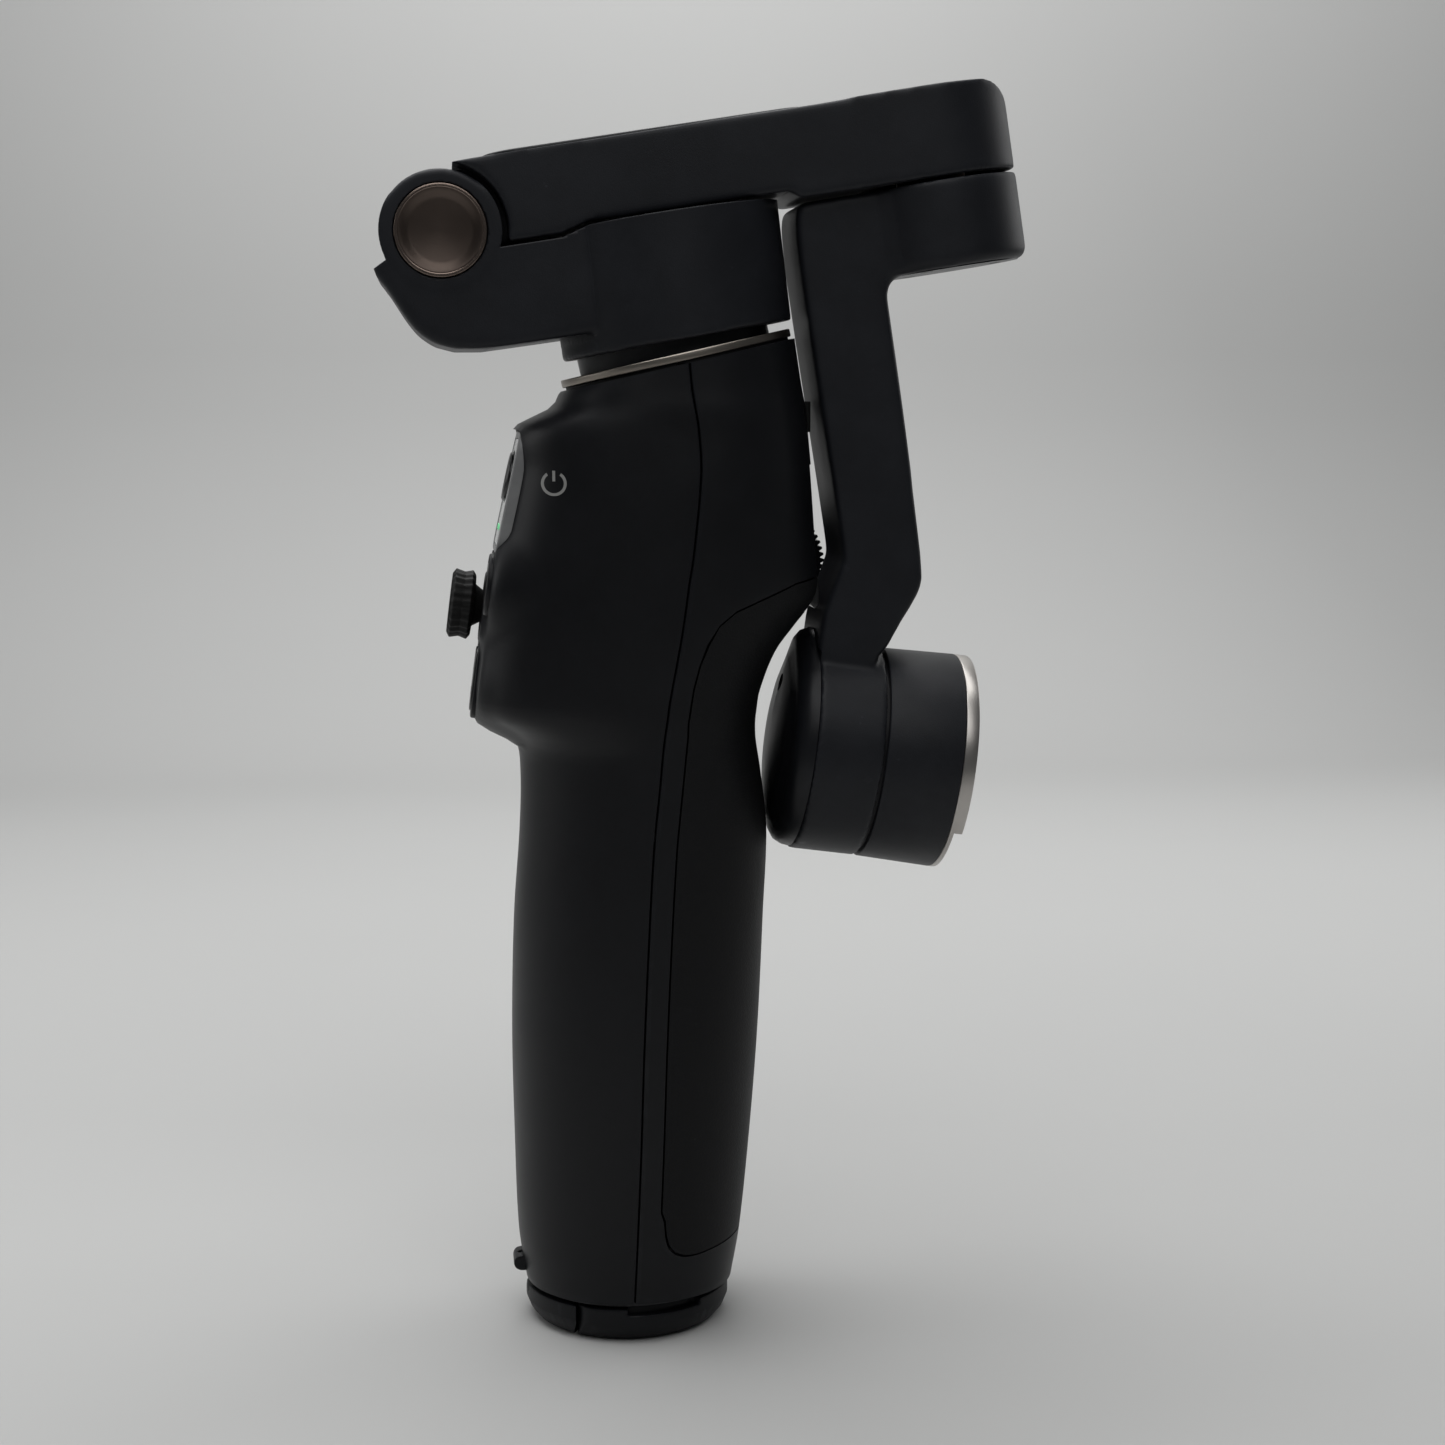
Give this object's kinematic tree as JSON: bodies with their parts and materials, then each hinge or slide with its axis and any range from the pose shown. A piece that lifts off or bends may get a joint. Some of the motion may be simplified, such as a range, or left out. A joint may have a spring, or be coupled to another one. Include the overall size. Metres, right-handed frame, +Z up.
{
  "type": "gimbal stabilizer",
  "caption": "Folding handheld phone stabilizer, folded: pistol grip with controls, telescoping head, tilted pan motor, folding arm, tilt motor, side arm and roll motor on a closed tripod base.",
  "frame": {"origin": "centre of the tripod base on the ground, on the axis of the threaded socket", "axes": "+Z up along the handle, +X to the back of the grip where the folded arms hang, -Y the user's right side"},
  "size_m": [0.0978, 0.0406, 0.1885],
  "materials": {
    "shell_black": "fine satin texture",
    "grip_rubber": "soft-touch, finely pebbled",
    "panel_grey": "satin light grey",
    "window": "glossy, milky",
    "board": "circuit board",
    "cell_wrap": "shrink-wrapped cell",
    "inner_plastic": "moulded inner part",
    "socket_steel": "plain steel",
    "pin_steel": "ground steel",
    "insert_brass": "turned brass",
    "stick_rubber": "soft-touch",
    "rod_metal": "bright tube",
    "champagne": "fine turned, champagne",
    "cover_black": "satin",
    "copper": "wound copper on a steel core",
    "arm_black": "fine satin paint on a reinforced moulding",
    "magnet": "plated magnet ring",
    "bronze_cap": "anodised bronze, bright edge",
    "plate_silver": "champagne-silver, fine blasted",
    "button_black": "semi-gloss",
    "leg_black": "glass-filled plastic"
  },
  "bodies": {
    "handle": {"front_shell": "shell_black", "rear_shell": "shell_black", "rear_grip": "grip_rubber", "control_panel": "panel_grey", "status_window": "window", "control_board": "board", "main_board": "board", "battery_cell": "cell_wrap", "battery_cradle": "inner_plastic", "usb_socket": "socket_steel", "rod_guide": "inner_plastic", "trigger_frame": "inner_plastic", "trigger_pin": "pin_steel", "wheel_axle": "pin_steel", "joystick_socket": "inner_plastic", "base_plate": "inner_plastic", "tripod_insert": "insert_brass", "leg_pins": "pin_steel", "base_screws": "pin_steel", "strap_lug": "shell_black", "rest_bumper": "stick_rubber"},
    "rod": {"rod_outer_tube": "rod_metal"},
    "head": {"rod_inner_tube": "rod_metal", "head_flange": "champagne", "pan_collar": "cover_black", "pan_core": "copper", "pan_bearings": "pin_steel"},
    "pan_arm": {"pan_arm_casting": "arm_black", "pan_magnets": "magnet", "pan_cover": "cover_black", "fold_pin": "pin_steel", "hinge_cap_right": "bronze_cap", "hinge_cap_left": "bronze_cap"},
    "fold_arm": {"fold_arm_shell": "arm_black", "fold_arm_cover": "cover_black", "arm_flex_board": "board", "tilt_core": "copper", "tilt_bearings": "pin_steel"},
    "tilt_arm": {"tilt_arm_shell": "arm_black", "tilt_end_plate": "cover_black", "tilt_magnets": "magnet", "roll_core": "copper", "roll_bearings": "pin_steel", "roll_back_cover": "cover_black"},
    "roll_head": {"roll_cup": "arm_black", "roll_magnets": "magnet", "clamp_plate": "plate_silver"},
    "joystick_yoke": {"joystick_yoke": "inner_plastic"},
    "joystick": {"joystick_stem": "inner_plastic", "joystick_cap": "stick_rubber"},
    "mode_button": {"mode_button": "button_black"},
    "record_button": {"record_button": "button_black"},
    "switch_button": {"switch_button": "button_black"},
    "trigger": {"trigger": "button_black"},
    "zoom_wheel": {"zoom_wheel": "cover_black"},
    "leg_a": {"tripod_leg_a": "leg_black"},
    "leg_b": {"tripod_leg_b": "leg_black"},
    "leg_c": {"tripod_leg_c": "leg_black"}
  },
  "joints": [
    {"name": "rod_lower", "type": "slide", "parent": "handle", "child": "rod", "axis": [0, 0, 1], "range_m": [0, 0.0451]},
    {"name": "rod_upper", "type": "slide", "parent": "rod", "child": "head", "axis": [0, 0, 1], "range_m": [0, 0.0451]},
    {"name": "pan_turn", "type": "hinge", "parent": "head", "child": "pan_arm", "pos_m": [0.0082, 0, 0.1474], "axis": [-0.2215, 0, 0.9751], "range_deg": [0, 90.1]},
    {"name": "arm_fold", "type": "hinge", "parent": "pan_arm", "child": "fold_arm", "pos_m": [-0.0268, 0, 0.16575], "axis": [0, -1, 0], "range_deg": [0, 115]},
    {"name": "tilt_turn", "type": "hinge", "parent": "fold_arm", "child": "tilt_arm", "pos_m": [0.04629, 0, 0.17733], "axis": [-0.1564, 0, 0.9877], "range_deg": [-120, 120]},
    {"name": "roll_turn", "type": "hinge", "parent": "tilt_arm", "child": "roll_head", "pos_m": [0.03774, 0, 0.08789], "axis": [0.991, 0, -0.134], "range_deg": [-165, 165]},
    {"name": "joystick_side", "type": "hinge", "parent": "handle", "child": "joystick_yoke", "pos_m": [-0.01556, 0.0045, 0.10984], "axis": [0.1305, 0, 0.9914], "range_deg": [-9, 9], "stiffness_Nm_per_rad": 0.03},
    {"name": "joystick_lift", "type": "hinge", "parent": "joystick_yoke", "child": "joystick", "pos_m": [-0.01556, 0.0045, 0.10984], "axis": [0, 1, 0], "range_deg": [-9, 9], "stiffness_Nm_per_rad": 0.03},
    {"name": "mode_press", "type": "slide", "parent": "handle", "child": "mode_button", "axis": [0.9763, 0, -0.2164], "range_m": [0, 0.0005], "stiffness_N_per_m": 400},
    {"name": "record_press", "type": "slide", "parent": "handle", "child": "record_button", "axis": [0.9914, 0, -0.1305], "range_m": [0, 0.0005], "stiffness_N_per_m": 400},
    {"name": "switch_press", "type": "slide", "parent": "handle", "child": "switch_button", "axis": [0.9914, 0, -0.1305], "range_m": [0, 0.0005], "stiffness_N_per_m": 400},
    {"name": "trigger_pull", "type": "hinge", "parent": "handle", "child": "trigger", "pos_m": [0.0227, 0, 0.1292], "axis": [0, 1, 0], "range_deg": [0, 8], "stiffness_Nm_per_rad": 0.15},
    {"name": "wheel_spin", "type": "hinge", "parent": "handle", "child": "zoom_wheel", "pos_m": [0.0236, 0.0156, 0.116], "axis": [0, 1, 0], "continuous": true},
    {"name": "leg_a_open", "type": "hinge", "parent": "handle", "child": "leg_a", "pos_m": [-0.00512, -0.01151, 0.003], "axis": [0, 0, -1], "range_deg": [0, 75]},
    {"name": "leg_b_open", "type": "hinge", "parent": "handle", "child": "leg_b", "pos_m": [0.01253, 0.00132, 0.003], "axis": [0, 0, -1], "range_deg": [0, 75]},
    {"name": "leg_c_open", "type": "hinge", "parent": "handle", "child": "leg_c", "pos_m": [-0.00741, 0.01019, 0.003], "axis": [0, 0, -1], "range_deg": [0, 75]}
  ],
  "couplings": [
    {"joint": "rod_lower", "follows": "arm_fold", "m_per_rad": 0.02242},
    {"joint": "rod_upper", "follows": "arm_fold", "m_per_rad": 0.02242},
    {"joint": "pan_turn", "follows": "arm_fold", "ratio": 0.78261}
  ]
}
